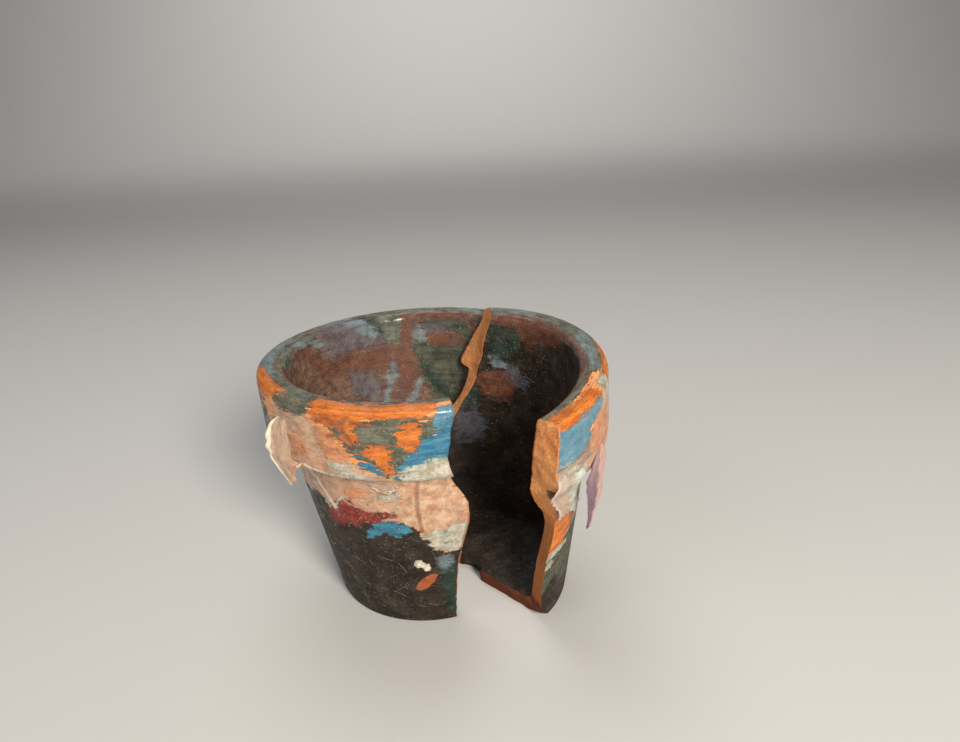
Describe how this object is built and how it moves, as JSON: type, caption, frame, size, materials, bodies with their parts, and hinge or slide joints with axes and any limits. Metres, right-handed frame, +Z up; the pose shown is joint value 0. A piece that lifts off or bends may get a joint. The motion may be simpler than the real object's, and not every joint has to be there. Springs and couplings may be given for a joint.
{
  "type": "cracked flower pot",
  "caption": "Small tapered terracotta flower pot with a collar, cracked through into a standing shard and a leaning shard, with worn and peeling paint.",
  "frame": {"origin": "on the ground under the middle of the whole object's box", "axes": "+Z up along the standing shard's axis, -Y towards the open front of the break, +X towards the leaning shard"},
  "size_m": [0.0868, 0.085, 0.0695],
  "materials": {
    "painted_terracotta": "matt fired clay under worn, patchy acrylic paint",
    "cream_paint_skin": "dried paint film, underside out",
    "mauve_paint_skin": "dried paint film, satin",
    "pale_paint_skin": "dried paint film, torn"
  },
  "bodies": {
    "root": {"main_shard": "painted_terracotta", "side_shard": "painted_terracotta", "left_paint_peel": "cream_paint_skin", "hanging_paint_peel": "mauve_paint_skin", "corner_paint_peel": "pale_paint_skin"}
  },
  "joints": []
}
